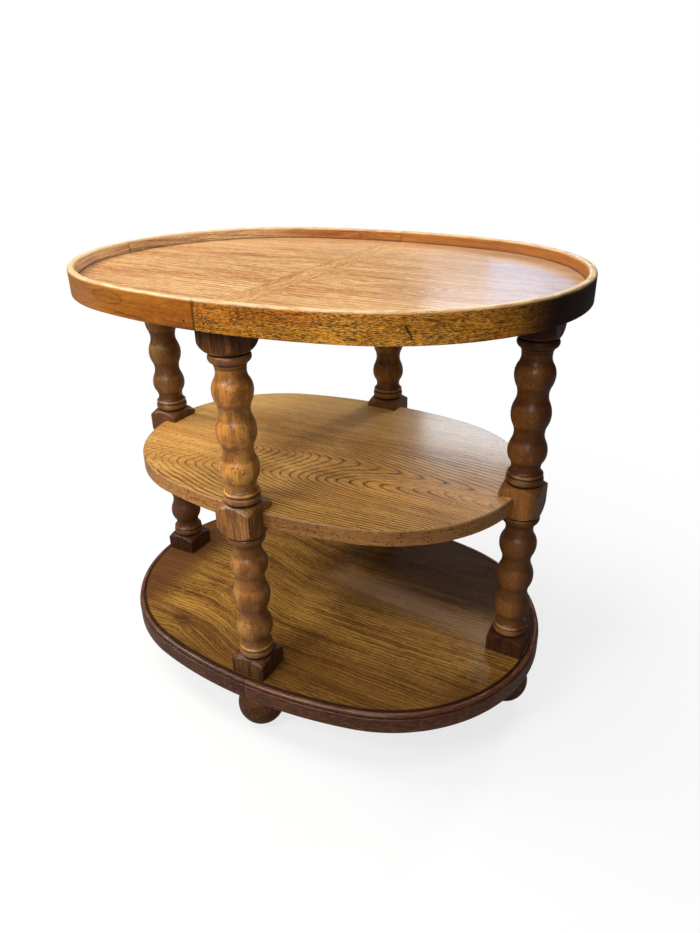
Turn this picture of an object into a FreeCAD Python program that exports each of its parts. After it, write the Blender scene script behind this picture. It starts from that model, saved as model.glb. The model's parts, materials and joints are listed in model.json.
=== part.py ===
import FreeCAD, Part
import math
import os

# Oval side table in three tiers, in millimetres.
# X runs along the long axis of the oval, Y along the short one and Z up.
# The origin is on the floor under the middle of the table.
# Four turned posts stand at the ends of the two axes. The line through their centres is an
# oval of four arcs, and every edge of the table is that oval moved in or out.

# Plan
post_reach_long = 288.5        # table centre to a post on the long axis
post_reach_short = 200.5       # table centre to a post on the short axis
side_arc_radius = 610.0        # flatter front and back arcs of the post oval
top_overhang = 52.0            # outer face of the rim beyond the post oval
mid_shelf_setback = 3.5        # edge of the middle shelf inside the post oval
moulding_overhang = 36.5       # outer face of the bottom moulding beyond the post oval

# Panels
veneer_thickness = 1.0
top_core_thickness = 14.0
mid_core_thickness = 18.5
bottom_core_thickness = 17.0
edge_band_thickness = 2.0
long_strip_width = 38.0        # straight-grained strip along the middle of the top
cross_strip_width = 38.0       # the strips that meet it from the front and the back

# Tray rim
tray_depth = 16.0              # rim top down to the tray floor
rim_thickness = 9.5
rim_drop = 1.0                 # rim below the underside of the top
rim_outer_round = 3.2
rim_inner_round = 3.5

# Bottom moulding
moulding_width = 9.5
moulding_height = 29.0
bead_width = 7.4               # round bead along the upper edge
bead_height = 6.2
bead_tuck = 1.2                # foot of the bead back from its widest point
bead_sink = 0.6                # crown of the bead below the shelf's surface
quirk_width = 1.0              # narrow groove between shelf and bead
quirk_depth = 3.0
fascia_round = 0.8

# Posts, from the top down
block_width = 49.5
top_block_height = 36.5
mid_block_height = 45.0
base_block_height = 28.0
pommel_height = 22.0           # rounded lower end of a block
pommel_lip = 2.4               # flat ring round the groove under a block
pommel_bend_out = 0.74         # middle of the pommel's curve, as shares of its width and height
pommel_bend_up = 0.32
mid_cone_drop = 8.0            # coned upper end of a block, at its corners
base_cone_drop = 6.0
mid_block_below_shelf = 10.5

# One turned length, used above and below the middle block
bulge_count = 3
bulge_pitch = 49.7
first_bulge_drop = 44.3        # groove down to the first bulge
last_bulge_rise = 42.8         # ring base up to the last bulge
bulge_radius = 24.3
waist_radius = 18.7
bulge_share = 0.57             # share of a swell that is convex
groove_radius = 21.4
groove_width = 2.0
upper_collar_radius = 24.7     # collar under the top block
lower_collar_radius = 24.3     # collar under the middle block
collar_height = 10.0
collar_crown = 0.42            # widest point of a collar, as a share of its height from the top
collar_foot_radius = 21.6
fillet_radius = 20.4
fillet_height = 5.0
fillet_bend = 0.65             # middle of the fillet's hollow, as a share of its height
fillet_foot = 0.5              # foot of the fillet outside the neck
upper_neck_radius = 17.8
upper_neck_drop = 22.0         # groove down to the neck
ring_radius = 23.5
ring_height = 10.0
ring_bead_radius = 22.6
ring_bead_height = 4.0
ring_bead_lip = 1.2            # step from the ring bead in to the flare above it
lower_neck_radius = 18.2
lower_neck_rise = 22.0         # ring base up to the neck

# Feet
foot_height = 76.5             # floor to the underside of the bottom shelf
ball_radius = 32.6
foot_flat_radius = 9.5         # flat where the glide sits
foot_neck_radius = 16.0
foot_cap_radius = 23.0
foot_cap_height = 6.0
foot_cap_round = 2.0           # edge of the cap back from its widest point
glide_radius = 9.0
glide_thickness = 1.2
glide_nail_radius = 1.1
glide_nail_length = 14.0

# Hidden joinery
foot_bolt_radius = 4.0
foot_bolt_in_foot = 34.0
foot_bolt_in_post = 32.0
top_dowel_radius = 5.0
top_dowel_in_post = 26.0
top_dowel_in_core = 9.0
shelf_dowel_radius = 4.0
shelf_dowel_in_post = 18.0
shelf_dowel_in_core = 24.0
brad_radius = 0.9
brad_length = 22.0
brad_sink = 1.5                # filled hole over the head of a brad
brad_setback = 12.0            # brad to the end of its band

# Clearances
fit_gap = 0.2                  # glued faces, and a pin in its hole
end_play = 1.0                 # hole deeper than its pin

# Heights above the floor
bottom_underside = foot_height
bottom_surface = bottom_underside + bottom_core_thickness + 2 * veneer_thickness
turned_length = first_bulge_drop + (bulge_count - 1) * bulge_pitch + last_bulge_rise
lower_turning_top = bottom_surface + base_block_height + turned_length
upper_turning_base = lower_turning_top + mid_block_height
upper_turning_top = upper_turning_base + turned_length
top_underside = upper_turning_top + top_block_height
mid_underside = lower_turning_top + mid_block_below_shelf
mid_surface = mid_underside + mid_core_thickness + 2 * veneer_thickness
tray_floor = top_underside + top_core_thickness + 2 * veneer_thickness
rim_top = tray_floor + tray_depth

# The post oval: a small arc round each end of the long axis, a large one front and back
reach_squares = post_reach_long ** 2 + post_reach_short ** 2
end_arc_radius = ((2 * side_arc_radius * post_reach_short - reach_squares)
                  / (2 * (side_arc_radius - post_reach_long)))
end_centre = FreeCAD.Vector(post_reach_long - end_arc_radius, 0, 0)
side_centre = FreeCAD.Vector(0, post_reach_short - side_arc_radius, 0)
joint_angle = math.degrees(math.atan2(-side_centre.y, end_centre.x))

UP = FreeCAD.Vector(0, 0, 1)
ORIGIN = FreeCAD.Vector(0, 0, 0)
QUARTERS = {
    "front_right": (1, -1),
    "back_right": (1, 1),
    "back_left": (-1, 1),
    "front_left": (-1, -1),
}
POSTS = {
    "front": (0, -1),
    "right": (1, 0),
    "back": (0, 1),
    "left": (-1, 0),
}


# Shapes shared by several pieces

def outline_face(path, place):
    """Closed face from a path. A step is a point, or (middle, end) for an arc."""
    edges = []
    here = path[0]
    for step in path[1:] + [path[0]]:
        if isinstance(step[0], tuple):
            middle, end = step
            edges.append(Part.Arc(place(here), place(middle), place(end)).toShape())
        else:
            end = step
            edges.append(Part.makeLine(place(here), place(end)))
        here = end
    return Part.Face(Part.Wire(edges))


def revolved(path):
    """Solid of revolution about Z from a path of (radius, height) steps."""
    face = outline_face(path, lambda point: FreeCAD.Vector(point[0], 0, point[1]))
    return face.revolve(ORIGIN, UP, 360)


def outward(angle):
    """Level unit vector at an angle in degrees from +X towards +Y."""
    turn = math.radians(angle)
    return FreeCAD.Vector(math.cos(turn), math.sin(turn), 0)


def oval_slab(offset, low, high):
    """Solid oval, the post oval moved out by offset, between two heights."""
    end_radius = end_arc_radius + offset
    side_radius = side_arc_radius + offset
    end_points = [end_centre + outward(angle) * end_radius
                  for angle in (0, joint_angle / 2, joint_angle)]
    side_points = [side_centre + outward(angle) * side_radius
                   for angle in (joint_angle, (joint_angle + 90) / 2, 90)]
    edges = []
    for side_x, side_y in QUARTERS.values():
        for arc in (end_points, side_points):
            points = [FreeCAD.Vector(side_x * p.x, side_y * p.y, low) for p in arc]
            edges.append(Part.Arc(*points).toShape())
    wire = Part.Wire(Part.__sortEdges__(edges))
    return Part.Face(wire).extrude(UP * (high - low))


def quarter_band(path):
    """Band along the oval from +X to +Y. The path holds (offset from the post oval, height)."""
    parts = []
    for centre, radius, start, turn in ((end_centre, end_arc_radius, 0, joint_angle),
                                        (side_centre, side_arc_radius, joint_angle, 90 - joint_angle)):
        face = outline_face(path, lambda p: centre + FreeCAD.Vector(radius + p[0], 0, p[1]))
        face.rotate(centre, UP, start)
        parts.append(face.revolve(centre, UP, turn))
    return parts[0].fuse(parts[1]).removeSplitter()


def in_quarter(shape, signs):
    """Mirror a shape made between +X and +Y into another quarter."""
    for sign, normal in zip(signs, (FreeCAD.Vector(1, 0, 0), FreeCAD.Vector(0, 1, 0))):
        if sign < 0:
            shape = shape.mirror(ORIGIN, normal)
    return shape


def centred_box(width_x, width_y, low, high):
    return Part.makeBox(width_x, width_y, high - low, FreeCAD.Vector(-width_x / 2, -width_y / 2, low))


def quarter_box(low, high, keep_x=0.0, keep_y=0.0):
    """Box over the quarter between +X and +Y, beyond two strips along the axes."""
    reach_x = post_reach_long + top_overhang + rim_thickness
    reach_y = post_reach_short + top_overhang + rim_thickness
    corner = FreeCAD.Vector(keep_x, keep_y, low)
    return Part.makeBox(reach_x - keep_x, reach_y - keep_y, high - low, corner)


def at_post(shape, name):
    """A shape drawn at the right-hand post, turned and moved to another post."""
    side_x, side_y = POSTS[name]
    placed = shape.copy()
    placed.rotate(ORIGIN, UP, math.degrees(math.atan2(side_y, side_x)))
    placed.translate(FreeCAD.Vector(side_x * post_reach_long, side_y * post_reach_short, 0))
    return placed


def at_all_posts(shape):
    return [at_post(shape, name) for name in POSTS]


def cut_all(shape, tools):
    for tool in tools:
        shape = shape.cut(tool)
    return shape


def pin(radius, low, high, gap=0.0, play=0.0):
    """Upright round pin, or with a gap and play the hole for it."""
    base = FreeCAD.Vector(0, 0, low - play)
    return Part.makeCylinder(radius + gap, high - low + 2 * play, base, UP)


# Hidden pins and the holes for them, drawn at a post or in one quarter

def foot_bolt(gap=0.0, play=0.0):
    return pin(foot_bolt_radius, bottom_underside - foot_bolt_in_foot,
               bottom_surface + foot_bolt_in_post, gap, play)


def top_dowel(gap=0.0, play=0.0):
    core_underside = top_underside + veneer_thickness
    return pin(top_dowel_radius, top_underside - top_dowel_in_post,
               core_underside + top_dowel_in_core, gap, play)


def shelf_dowel(gap=0.0, play=0.0):
    """Level dowel from the inner face of a middle block into the shelf."""
    inner_face = -block_width / 2
    length = shelf_dowel_in_post + fit_gap + shelf_dowel_in_core + 2 * play
    start = inner_face - fit_gap - shelf_dowel_in_core - play
    height = (mid_underside + mid_surface) / 2
    return Part.makeCylinder(shelf_dowel_radius + gap, length, FreeCAD.Vector(start, 0, height),
                             FreeCAD.Vector(1, 0, 0))


def quarter_brads(overhang, height, gap=0.0, play=0.0):
    """Brads through a band into its panel: near both ends and in the middle of a quarter."""
    brads = []
    face_end = end_arc_radius + overhang
    face_side = side_arc_radius + overhang
    end_step = math.degrees(brad_setback / face_end)
    side_step = math.degrees(brad_setback / face_side)
    for centre, radius, angle in ((end_centre, face_end, end_step),
                                  (end_centre, face_end, joint_angle / 2),
                                  (side_centre, face_side, 90 - side_step)):
        direction = outward(angle)
        head = centre + direction * (radius - brad_sink + play) + UP * height
        length = brad_length + 2 * play
        brads.append(Part.makeCylinder(brad_radius + gap, length, head, direction * -1))
    return brads


# Top

rim_inside = top_overhang - rim_thickness
rim_brad_height = (top_underside + tray_floor) / 2


def rim_band_quarter():
    low = top_underside - rim_drop
    slope = math.sin(math.pi / 4)
    inner_mid = (rim_inside + rim_inner_round * (1 - slope),
                 rim_top - rim_inner_round * (1 - slope))
    outer_mid = (top_overhang - rim_outer_round * (1 - slope),
                 rim_top - rim_outer_round * (1 - slope))
    path = [
        (rim_inside, low),
        (rim_inside, rim_top - rim_inner_round),
        (inner_mid, (rim_inside + rim_inner_round, rim_top)),
        (top_overhang - rim_outer_round, rim_top),
        (outer_mid, (top_overhang, rim_top - rim_outer_round)),
        (top_overhang, low),
    ]
    holes = quarter_brads(top_overhang, rim_brad_height, fit_gap, fit_gap)
    return cut_all(quarter_band(path), holes)


def top_pieces():
    edge = rim_inside - fit_gap
    core_low = top_underside + veneer_thickness
    core_high = core_low + top_core_thickness
    holes = at_all_posts(top_dowel(fit_gap, end_play))
    brad_holes = []
    for signs in QUARTERS.values():
        for hole in quarter_brads(top_overhang, rim_brad_height, fit_gap, fit_gap):
            brad_holes.append(in_quarter(hole, signs))
    pieces = {
        "top_core": cut_all(oval_slab(edge, core_low, core_high), holes + brad_holes),
        "top_backing_veneer": cut_all(oval_slab(edge, top_underside, core_low), holes),
    }
    face = oval_slab(edge, core_high, tray_floor)
    whole_x = 2 * (post_reach_long + top_overhang)
    whole_y = 2 * (post_reach_short + top_overhang)
    long_box = centred_box(whole_x, long_strip_width, core_high, tray_floor)
    cross_box = centred_box(cross_strip_width, whole_y, core_high, tray_floor)
    pieces["top_long_strip"] = face.common(long_box)
    for name, side_y in (("front", -1), ("back", 1)):
        half = quarter_box(core_high, tray_floor, 0, long_strip_width / 2)
        both = half.fuse(half.mirror(ORIGIN, FreeCAD.Vector(1, 0, 0)))
        strip = face.common(cross_box).common(both)
        pieces["top_cross_strip_" + name] = in_quarter(strip, (1, side_y))
    leaf_box = quarter_box(core_high, tray_floor, cross_strip_width / 2, long_strip_width / 2)
    leaf = face.common(leaf_box)
    for name, signs in QUARTERS.items():
        pieces["top_leaf_" + name] = in_quarter(leaf, signs)
    return pieces


# Posts

def swell_arc(turning_point, end):
    """Middle of the arc that leaves a bulge or a waist upright and reaches end."""
    radius, height = turning_point
    run = end[1] - height
    rise = end[0] - radius
    arc_radius = (run ** 2 + rise ** 2) / (2 * abs(rise))
    half_turn = math.asin(min(1.0, abs(run) / arc_radius)) / 2
    inward = math.copysign(arc_radius * (1 - math.cos(half_turn)), rise)
    return (radius + inward, height + math.copysign(arc_radius * math.sin(half_turn), run))


def swell(start, end):
    """Two arcs from one upright point of a turning to the next, one hollow and one round."""
    share = bulge_share if start[0] > end[0] else 1 - bulge_share
    turn = (start[0] + (end[0] - start[0]) * share, start[1] + (end[1] - start[1]) * share)
    return [(swell_arc(start, turn), turn), (swell_arc(end, turn), end)]


def turned_path(groove_level, collar_radius):
    """Outline of a turned length, from the groove at its top down to its ring."""
    ring_base = groove_level - turned_length
    collar_top = groove_level - groove_width / 2
    collar_low = collar_top - collar_height
    fillet_low = collar_low - fillet_height
    collar_start = (groove_radius + collar_radius) / 2
    bead_low = ring_base + groove_width / 2 + ring_height
    bead_high = bead_low + ring_bead_height
    ring_low = ring_base + groove_width / 2
    neck = (upper_neck_radius, groove_level - upper_neck_drop)
    path = [
        (0, groove_level),
        (groove_radius, groove_level),
        (groove_radius, collar_top),
        (collar_start, collar_top),
        ((collar_radius, collar_top - collar_height * collar_crown),
         (collar_foot_radius, collar_low)),
        (fillet_radius, collar_low),
        (((fillet_radius + upper_neck_radius) / 2, collar_low - fillet_height * fillet_bend),
         (upper_neck_radius + fillet_foot, fillet_low)),
        neck,
    ]
    upright = [neck]
    for number in range(bulge_count):
        level = groove_level - first_bulge_drop - number * bulge_pitch
        upright.append((bulge_radius, level))
        if number < bulge_count - 1:
            upright.append((waist_radius, level - bulge_pitch / 2))
    last_neck = (lower_neck_radius, ring_base + lower_neck_rise)
    upright.append(last_neck)
    for start, end in zip(upright, upright[1:]):
        path += swell(start, end)
    flare_end = (ring_bead_radius - ring_bead_lip, bead_high)
    path += [
        (swell_arc(last_neck, flare_end), flare_end),
        ((ring_bead_radius, (bead_low + bead_high) / 2), (groove_radius, bead_low)),
        ((ring_radius, (ring_low + bead_low) / 2), (groove_radius, ring_low)),
        (groove_radius, ring_base),
        (0, ring_base),
    ]
    return path


def pommel_steps(low):
    """Lower end of a block: round corners down to the groove."""
    corner = block_width / math.sqrt(2) + fit_gap
    lip = low + groove_width / 2
    lip_radius = groove_radius + pommel_lip
    middle = (lip_radius + (corner - lip_radius) * pommel_bend_out,
              lip + (pommel_height - groove_width / 2) * pommel_bend_up)
    return [(0, low), (groove_radius, low), (groove_radius, lip), (lip_radius, lip),
            (middle, (corner, low + pommel_height))]


def cone_steps(high, drop):
    """Upper end of a block: a shallow cone from the ring out to the corners."""
    corner = block_width / math.sqrt(2)
    slope = drop / (corner - groove_radius)
    return [(corner + fit_gap, high - drop - slope * fit_gap), (groove_radius, high), (0, high)]


def post():
    """One post, drawn on the Z axis at its real height."""
    mid_top = upper_turning_base
    base_top = bottom_surface + base_block_height
    blank = centred_box(block_width, block_width, bottom_surface, top_underside)
    corner = block_width / math.sqrt(2) + fit_gap
    blocks = [
        pommel_steps(upper_turning_top) + [(corner, top_underside), (0, top_underside)],
        pommel_steps(lower_turning_top) + cone_steps(mid_top, mid_cone_drop),
        [(0, bottom_surface), (corner, bottom_surface)] + cone_steps(base_top, base_cone_drop),
    ]
    shape = revolved(blocks[0]).common(blank)
    for path in blocks[1:]:
        shape = shape.fuse(revolved(path).common(blank))
    for groove_level, collar_radius in ((upper_turning_top, upper_collar_radius),
                                        (lower_turning_top, lower_collar_radius)):
        shape = shape.fuse(revolved(turned_path(groove_level, collar_radius)))
    shape = shape.removeSplitter()
    return cut_all(shape, [foot_bolt(fit_gap, end_play), top_dowel(fit_gap, end_play),
                           shelf_dowel(fit_gap, end_play)])


# Middle shelf

def mid_shelf_pieces():
    edge = -mid_shelf_setback
    core_low = mid_underside + veneer_thickness
    core_high = core_low + mid_core_thickness
    slot = centred_box(2 * block_width, block_width + 2 * fit_gap, mid_underside, mid_surface)
    slot.translate(FreeCAD.Vector(block_width / 2 - fit_gap, 0, 0))
    notches = at_all_posts(slot)
    inside = edge - edge_band_thickness
    core = cut_all(oval_slab(inside, core_low, core_high), notches)
    pieces = {
        "mid_shelf_core": cut_all(core, at_all_posts(shelf_dowel(fit_gap, end_play))),
        "mid_shelf_face_veneer": cut_all(oval_slab(inside, core_high, mid_surface), notches),
        "mid_shelf_backing_veneer": cut_all(oval_slab(inside, mid_underside, core_low), notches),
    }
    band = quarter_band([(inside, mid_underside), (edge, mid_underside),
                         (edge, mid_surface), (inside, mid_surface)])
    band = cut_all(band, [at_post(slot, "right"), at_post(slot, "back")])
    for name, signs in QUARTERS.items():
        pieces["mid_shelf_edge_band_" + name] = in_quarter(band, signs)
    return pieces


# Bottom shelf

bottom_edge = moulding_overhang - moulding_width
bottom_brad_height = bottom_underside + veneer_thickness + bottom_core_thickness / 2


def moulding_quarter():
    """Plain fascia under a round bead, with a narrow groove beside the shelf."""
    low = bottom_surface - moulding_height
    step = bottom_surface - bead_sink - bead_height
    bead_start = bottom_edge + quirk_width
    bead_end = bead_start + bead_width
    crown = (bead_start + bead_width / 2, bottom_surface - bead_sink)
    shoulder = bottom_surface - bead_sink - bead_height / 2
    slope = math.sin(math.pi / 4)
    inner_mid = (crown[0] - bead_width / 2 * slope, shoulder + bead_height / 2 * slope)
    outer_mid = (crown[0] + bead_width / 2 * slope, shoulder + bead_height / 2 * slope)
    face_top = (moulding_overhang, step - fascia_round)
    round_mid = (moulding_overhang - fascia_round * (1 - slope),
                 step - fascia_round * (1 - slope))
    path = [
        (bottom_edge, low),
        (bottom_edge, bottom_surface - quirk_depth),
        (bead_start, bottom_surface - quirk_depth),
        (bead_start, shoulder),
        (inner_mid, crown),
        (outer_mid, (bead_end, shoulder)),
        ((bead_end - bead_tuck / 4, (shoulder + step) / 2), (bead_end - bead_tuck, step)),
        (moulding_overhang - fascia_round, step),
        (round_mid, face_top),
        (moulding_overhang, low),
    ]
    holes = quarter_brads(moulding_overhang, bottom_brad_height, fit_gap, fit_gap)
    return cut_all(quarter_band(path), holes)


def bottom_shelf_pieces():
    edge = bottom_edge - fit_gap
    core_low = bottom_underside + veneer_thickness
    core_high = core_low + bottom_core_thickness
    holes = at_all_posts(foot_bolt(fit_gap, end_play))
    brad_holes = []
    for signs in QUARTERS.values():
        for hole in quarter_brads(moulding_overhang, bottom_brad_height, fit_gap, fit_gap):
            brad_holes.append(in_quarter(hole, signs))
    pieces = {
        "bottom_shelf_core": cut_all(oval_slab(edge, core_low, core_high), holes + brad_holes),
        "bottom_shelf_face_veneer": cut_all(oval_slab(edge, core_high, bottom_surface), holes),
        "bottom_shelf_backing_veneer": cut_all(oval_slab(edge, bottom_underside, core_low), holes),
    }
    moulding = moulding_quarter()
    for name, signs in QUARTERS.items():
        pieces["bottom_moulding_" + name] = in_quarter(moulding, signs)
    return pieces


# Feet

def ball_foot():
    """Turned ball with a short neck and a cap under the shelf, flat where the glide sits."""
    centre = glide_thickness + math.sqrt(ball_radius ** 2 - foot_flat_radius ** 2)
    cap_low = foot_height - foot_cap_height
    neck_low = centre + math.sqrt(ball_radius ** 2 - foot_neck_radius ** 2)
    cap_edge = foot_cap_radius - foot_cap_round
    path = [
        (0, glide_thickness),
        (foot_flat_radius, glide_thickness),
        ((ball_radius, centre), (foot_neck_radius, neck_low)),
        (foot_neck_radius, cap_low),
        (cap_edge, cap_low),
        ((foot_cap_radius, cap_low + foot_cap_height / 2), (cap_edge, foot_height)),
        (0, foot_height),
    ]
    nail_top = glide_thickness + glide_nail_length
    nail_hole = pin(glide_nail_radius, glide_thickness, nail_top, fit_gap, end_play)
    return cut_all(revolved(path), [foot_bolt(fit_gap, end_play), nail_hole])


def glide():
    """Domed-edge steel disc with its nail."""
    rim = glide_thickness / 2
    bend = rim * (1 - math.sin(math.pi / 4))
    disc = revolved([
        (0, 0),
        (glide_radius - rim, 0),
        ((glide_radius - bend, bend), (glide_radius, rim)),
        (glide_radius, glide_thickness),
        (0, glide_thickness),
    ])
    return disc.fuse(pin(glide_nail_radius, glide_thickness, glide_thickness + glide_nail_length))


# The whole table

def table():
    pieces = {}
    pieces.update(top_pieces())
    rim = rim_band_quarter()
    for name, signs in QUARTERS.items():
        pieces["rim_band_" + name] = in_quarter(rim, signs)
    post_shape = post()
    foot_shape = ball_foot()
    for name in POSTS:
        pieces["post_" + name] = at_post(post_shape, name)
        pieces["ball_foot_" + name] = at_post(foot_shape, name)
    pieces.update(mid_shelf_pieces())
    pieces.update(bottom_shelf_pieces())
    groups = {
        "foot_glides": at_all_posts(glide()),
        "foot_bolts": at_all_posts(foot_bolt()),
        "top_dowels": at_all_posts(top_dowel()),
        "mid_shelf_dowels": at_all_posts(shelf_dowel()),
    }
    for name, overhang, height in (("rim_brads", top_overhang, rim_brad_height),
                                   ("moulding_brads", moulding_overhang, bottom_brad_height)):
        groups[name] = []
        for signs in QUARTERS.values():
            for brad in quarter_brads(overhang, height):
                groups[name].append(in_quarter(brad, signs))
    for name, members in groups.items():
        pieces[name] = Part.makeCompound(members)
    return pieces


os.makedirs("parts", exist_ok=True)
for node, shape in table().items():
    shape.exportStep("parts/" + node + ".step")
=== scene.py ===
import json
import math

import bmesh
import bpy
from mathutils import Matrix, Vector

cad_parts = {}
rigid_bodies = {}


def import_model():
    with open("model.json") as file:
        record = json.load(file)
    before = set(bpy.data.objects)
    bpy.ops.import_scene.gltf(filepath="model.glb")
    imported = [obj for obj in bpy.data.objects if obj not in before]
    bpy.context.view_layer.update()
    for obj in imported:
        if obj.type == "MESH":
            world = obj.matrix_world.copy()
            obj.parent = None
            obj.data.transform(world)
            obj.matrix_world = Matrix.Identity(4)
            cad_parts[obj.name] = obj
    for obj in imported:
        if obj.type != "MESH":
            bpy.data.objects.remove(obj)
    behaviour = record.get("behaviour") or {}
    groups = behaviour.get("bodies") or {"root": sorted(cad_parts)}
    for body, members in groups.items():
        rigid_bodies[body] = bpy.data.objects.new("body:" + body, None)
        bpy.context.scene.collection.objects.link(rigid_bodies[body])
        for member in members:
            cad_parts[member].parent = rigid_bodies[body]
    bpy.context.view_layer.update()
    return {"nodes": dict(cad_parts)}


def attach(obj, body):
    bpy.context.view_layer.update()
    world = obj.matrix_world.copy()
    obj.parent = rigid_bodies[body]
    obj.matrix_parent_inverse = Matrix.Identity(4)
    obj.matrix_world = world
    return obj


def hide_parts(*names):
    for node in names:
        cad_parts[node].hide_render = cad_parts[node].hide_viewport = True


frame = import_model()

# Oval side table in three tiers. Sizes are in millimetres until a mesh is made.
MM = 0.001

# Plan: the line through the four posts is an oval of four arcs
POST_REACH_LONG = 288.5
POST_REACH_SHORT = 200.5
SIDE_ARC = 610.0
_squares = POST_REACH_LONG ** 2 + POST_REACH_SHORT ** 2
END_ARC = (2 * SIDE_ARC * POST_REACH_SHORT - _squares) / (2 * (SIDE_ARC - POST_REACH_LONG))
END_CENTRE = POST_REACH_LONG - END_ARC
SIDE_CENTRE = SIDE_ARC - POST_REACH_SHORT
JOINT_ANGLE = math.atan2(SIDE_CENTRE, END_CENTRE)
END_LENGTH = END_ARC * JOINT_ANGLE
QUARTER_LENGTH = END_LENGTH + SIDE_ARC * (math.pi / 2 - JOINT_ANGLE)

TOP_OVERHANG = 52.0
MID_SETBACK = 3.5
MOULDING_OVERHANG = 36.5
MOULDING_WIDTH = 9.5
RIM_THICKNESS = 9.5
RIM_LOW = 577.0
RIM_TOP = 610.0
TRAY_FLOOR = 594.0
MID_UNDERSIDE = 320.5
MID_SURFACE = 341.0
EDGE_BAND = 2.0
BOTTOM_SURFACE = 95.5
MOULDING_LOW = 66.5
BLOCK_HALF = 24.75
STRIP_HALF = 19.0
BRAD_SETBACK = 12.0
BRAD_HEIGHT = 586.0

QUARTERS = {"front_right": (1, -1), "back_right": (1, 1), "back_left": (-1, 1), "front_left": (-1, -1)}
POSTS = {"front": (0, -1), "right": (1, 0), "back": (0, 1), "left": (-1, 0)}


# Nodes written as expressions

def maths(operation, swapped=False):
    """A method that adds a Math node. A reflected operator swaps its two values."""
    def method(self, *others):
        values = others + (self,) if swapped else (self,) + others
        return self.graph.node("ShaderNodeMath", {"operation": operation}, dict(enumerate(values)))
    return method


class Value:
    """An output of a node that works in Python expressions."""

    __add__ = __radd__ = maths("ADD")
    __sub__ = maths("SUBTRACT")
    __rsub__ = maths("SUBTRACT", swapped=True)
    __mul__ = __rmul__ = maths("MULTIPLY")
    __truediv__ = maths("DIVIDE")
    __rtruediv__ = maths("DIVIDE", swapped=True)
    __pow__ = maths("POWER")
    least = maths("MINIMUM")
    soft_least = maths("SMOOTH_MIN")
    most = maths("MAXIMUM")
    size = maths("ABSOLUTE")
    part = maths("FRACT")
    nearest = maths("ROUND")
    below = maths("LESS_THAN")
    sine = maths("SINE")
    cosine = maths("COSINE")

    def __init__(self, graph, output):
        self.graph = graph
        self.output = output

    def __neg__(self):
        return self * -1.0

    def other(self, name):
        return Value(self.graph, self.output.node.outputs[name])

    def ease(self, low, high):
        """0 below low, 1 above high and a smooth step between. High may be the smaller."""
        return self.graph.node(
            "ShaderNodeMapRange", {"interpolation_type": "SMOOTHSTEP"},
            {"Value": self, "From Min": low, "From Max": high})

    def near(self, level, outer, inner):
        """1 within inner of a level, 0 beyond outer."""
        return (self - level).size().ease(outer, inner)

    def axes(self):
        """The three numbers of a vector."""
        split = self.graph.node("ShaderNodeSeparateXYZ", {}, {0: self})
        return split, split.other("Y"), split.other("Z")


class Graph:
    """Builds the nodes of one tree."""

    def __init__(self, tree):
        self.tree = tree
        tree.nodes.clear()

    def node(self, kind, settings, inputs, out=0):
        """Adds a node: its settings first, then the values or links of its sockets by name, number
        or identifier. Returns one output as a value."""
        made = self.tree.nodes.new(kind)
        for name, value in settings.items():
            setattr(made, name, value)
        by_identifier = {socket.identifier: socket for socket in made.inputs}
        results = {socket.identifier: socket for socket in made.outputs}
        for key, value in inputs.items():
            socket = by_identifier[key] if key in by_identifier else made.inputs[key]
            if isinstance(value, Value):
                self.tree.links.new(value.output, socket)
            else:
                socket.default_value = value
        if made.outputs:
            return Value(self, results[out] if out in results else made.outputs[out])
        return None

    def vector(self, x, y, z):
        return self.node("ShaderNodeCombineXYZ", {}, {0: x, 1: y, 2: z})

    def vector_maths(self, operation, vector, *numbers):
        return self.node("ShaderNodeVectorMath", {"operation": operation}, {0: vector, 1: numbers})

    def stretch(self, vector, *factors):
        return self.vector_maths("MULTIPLY", vector, *factors)

    def shift(self, vector, *steps):
        return self.vector_maths("ADD", vector, *steps)

    def noise(self, vector, scale=1.0, detail=2.0, roughness=0.5):
        return self.node("ShaderNodeTexNoise", {}, {
            "Vector": vector, "Scale": scale, "Detail": detail, "Roughness": roughness})

    def marks(self, vector, spread, detail=2.0, roughness=0.5):
        """Noise that changes at its own pace along each axis."""
        return self.noise(self.stretch(vector, *spread), 1.0, detail, roughness)

    def cells(self, vector, spread, scale=1.0):
        """The distance to the nearest of many scattered points, and two lots drawn for that point."""
        cell = self.node("ShaderNodeTexVoronoi", {"feature": "F1"}, {
            "Vector": self.stretch(vector, *spread), "Scale": scale})
        first, second, _ = cell.other("Color").axes()
        return cell, first, second

    def mix(self, factor, a, b, blend="MIX"):
        a, b = (c if isinstance(c, Value) else c + (1.0,) for c in (a, b))
        return self.node("ShaderNodeMix", {"data_type": "RGBA", "blend_type": blend}, {
            "Factor_Float": factor, "A_Color": a, "B_Color": b}, "Result_Color")

    def surface(self, shader):
        self.node("ShaderNodeOutputMaterial", {}, {"Surface": shader})

    def attribute(self, name, out):
        return self.node("ShaderNodeAttribute", {"attribute_name": name}, {}, out)


# Oak

# Colours, and how strong, wide or dense each mark is. A board changes some of them.
OAK = dict(
    pale=(0.6, 0.31, 0.095), warm=(0.47, 0.21, 0.055), line=(0.2, 0.075, 0.02), pore=(0.055, 0.02, 0.008),
    ring_line=0.5, ring_width=0.3, ragged=0.35, pores=0.5, streaks=0.8, fleck=(0.8, 0.5, 0.2), flecks=0.15,
    specks=0.0, speck_size=1.0, spots=0.3, cloud=0.35, gloss=0.42, coat=0.6, coat_gloss=0.22, shine=0.12)
GLAZE = (0.035, 0.014, 0.007)
# Masks darker than this take the coat off: dark stains and dark painted shade alike
DARK_STAIN_AND_SHADE = 0.05


def new_material(name):
    """A material and the graph of its nodes."""
    material = bpy.data.materials.new(name.replace("_", " "))
    material.use_nodes = True
    return material, Graph(material.node_tree)


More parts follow.
